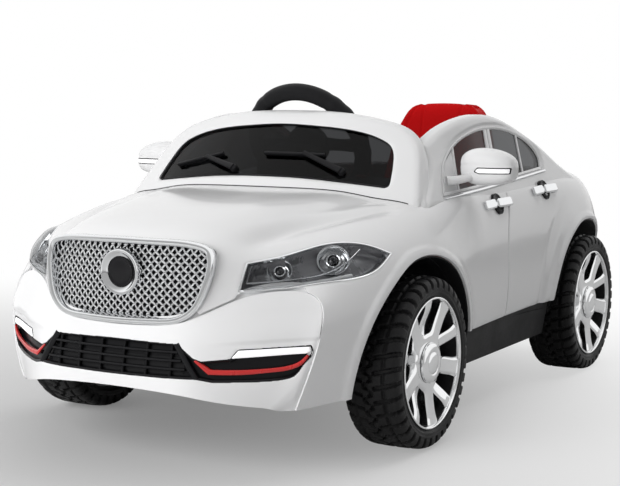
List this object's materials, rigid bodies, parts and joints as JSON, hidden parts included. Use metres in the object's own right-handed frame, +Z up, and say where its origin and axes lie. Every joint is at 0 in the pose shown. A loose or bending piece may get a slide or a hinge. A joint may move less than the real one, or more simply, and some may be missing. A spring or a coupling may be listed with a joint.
{
  "type": "electric ride-on car",
  "caption": "Battery ride-on car for a young child: moulded saloon body on a chassis tub with steered front wheels, driven rear wheels, seat and controls.",
  "frame": {"origin": "on the ground, in the middle of the car's length and width", "axes": "+Z up, the car faces -Y and its left side is +X"},
  "size_m": [0.728, 1.2272, 0.5224],
  "materials": {
    "white_body": "glossy moulded white plastic",
    "black_plastic": "grained black moulded plastic",
    "gloss_black": "glossy black plastic",
    "bright_trim": "bright vacuum-plated plastic",
    "lamp_lens": "clear smoked moulded lens",
    "red_lens": "red moulded lens",
    "lamp_inside": "dark metallised lamp tray",
    "tinted_pane": "dark tinted plastic pane",
    "red_plastic": "red painted plastic trim",
    "red_seat": "red grained moulded seat",
    "tyre": "matt black moulded tyre",
    "steel": "zinc-plated steel",
    "mirror": "mirror film",
    "battery_case": "dark battery case"
  },
  "bodies": {
    "car": {"body_shell": "white_body", "front_bumper": "white_body", "rear_bumper": "white_body", "windscreen_frame": "white_body", "side_arch_left": "white_body", "side_arch_right": "white_body", "mirror_housing_left": "white_body", "mirror_housing_right": "white_body", "chassis_tub": "black_plastic", "lower_grille": "black_plastic", "dashboard": "black_plastic", "wipers": "black_plastic", "door_handle_cups": "black_plastic", "gearboxes": "black_plastic", "control_box": "black_plastic", "grille_surround": "bright_trim", "grille_mesh": "bright_trim", "grille_badge": "bright_trim", "fog_strips": "bright_trim", "door_handles": "bright_trim", "mirror_indicators": "bright_trim", "headlight_projectors": "bright_trim", "headlight_lens_left": "lamp_lens", "headlight_lens_right": "lamp_lens", "headlight_housing_left": "lamp_inside", "headlight_housing_right": "lamp_inside", "windscreen_glass": "tinted_pane", "side_window_left": "tinted_pane", "side_window_right": "tinted_pane", "tail_lamps": "red_lens", "bumper_red_trim": "red_plastic", "seat": "red_seat", "mirror_glasses": "mirror", "front_axle_beam": "steel", "rear_axle": "steel", "motors": "steel", "floor_screws": "steel", "battery": "battery_case"},
    "steering": {"steering_wheel": "black_plastic", "steering_column": "steel"},
    "horn": {"horn_pad": "gloss_black"},
    "lower_shaft": {"steering_shaft": "steel"},
    "track_link": {"tie_rod": "steel"},
    "left_knuckle": {"knuckle_left": "steel"},
    "right_knuckle": {"knuckle_right": "steel"},
    "pedal": {"accelerator_pedal": "black_plastic"},
    "lever": {"shift_lever": "black_plastic"},
    "button": {"power_button": "red_plastic"},
    "front_left_wheel": {"tyre_front_left": "tyre", "rim_front_left": "bright_trim", "hub_cap_front_left": "bright_trim"},
    "front_right_wheel": {"tyre_front_right": "tyre", "rim_front_right": "bright_trim", "hub_cap_front_right": "bright_trim"},
    "rear_left_wheel": {"tyre_rear_left": "tyre", "rim_rear_left": "bright_trim", "hub_cap_rear_left": "bright_trim"},
    "rear_right_wheel": {"tyre_rear_right": "tyre", "rim_rear_right": "bright_trim", "hub_cap_rear_right": "bright_trim"}
  },
  "joints": [
    {"name": "steering_turn", "type": "hinge", "parent": "car", "child": "steering", "pos_m": [0, -0.07, 0.425], "axis": [0, 0.891, 0.454], "range_deg": [-36, 36]},
    {"name": "horn_press", "type": "slide", "parent": "steering", "child": "horn", "axis": [0, -0.891, -0.454], "range_m": [0, 0.003], "stiffness_N_per_m": 400},
    {"name": "lower_shaft_turn", "type": "hinge", "parent": "car", "child": "lower_shaft", "pos_m": [0, -0.25, 0.146], "axis": [0, 0.4583, 0.8888], "range_deg": [-36.5, 36.5]},
    {"name": "track_link_slide", "type": "slide", "parent": "car", "child": "track_link", "axis": [1, 0, 0], "range_m": [-0.018, 0.018]},
    {"name": "left_knuckle_turn", "type": "hinge", "parent": "car", "child": "left_knuckle", "pos_m": [0.226, -0.284, 0.125], "axis": [0, 0, 1], "range_deg": [-19, 19]},
    {"name": "right_knuckle_turn", "type": "hinge", "parent": "car", "child": "right_knuckle", "pos_m": [-0.226, -0.284, 0.125], "axis": [0, 0, 1], "range_deg": [-19, 19]},
    {"name": "pedal_press", "type": "hinge", "parent": "car", "child": "pedal", "pos_m": [-0.06, -0.03, 0.101], "axis": [1, 0, 0], "range_deg": [0, 12], "stiffness_Nm_per_rad": 2},
    {"name": "lever_shift", "type": "hinge", "parent": "car", "child": "lever", "pos_m": [-0.13, -0.131, 0.345], "axis": [1, 0, 0], "range_deg": [-12, 12]},
    {"name": "button_press", "type": "slide", "parent": "car", "child": "button", "axis": [0, 0, -1], "range_m": [0, 0.003], "stiffness_N_per_m": 300},
    {"name": "front_left_wheel_spin", "type": "hinge", "parent": "left_knuckle", "child": "front_left_wheel", "pos_m": [0.285, -0.284, 0.125], "axis": [1, 0, 0], "continuous": true},
    {"name": "rear_left_wheel_spin", "type": "hinge", "parent": "car", "child": "rear_left_wheel", "pos_m": [0.285, 0.409, 0.125], "axis": [1, 0, 0], "continuous": true},
    {"name": "front_right_wheel_spin", "type": "hinge", "parent": "right_knuckle", "child": "front_right_wheel", "pos_m": [-0.285, -0.284, 0.125], "axis": [1, 0, 0], "continuous": true},
    {"name": "rear_right_wheel_spin", "type": "hinge", "parent": "car", "child": "rear_right_wheel", "pos_m": [-0.285, 0.409, 0.125], "axis": [1, 0, 0], "continuous": true}
  ],
  "couplings": [
    {"joint": "lower_shaft_turn", "follows": "steering_turn", "ratio": 1},
    {"joint": "track_link_slide", "follows": "steering_turn", "m_per_rad": -0.028011},
    {"joint": "left_knuckle_turn", "follows": "steering_turn", "ratio": 0.51889},
    {"joint": "right_knuckle_turn", "follows": "steering_turn", "ratio": 0.51889}
  ]
}
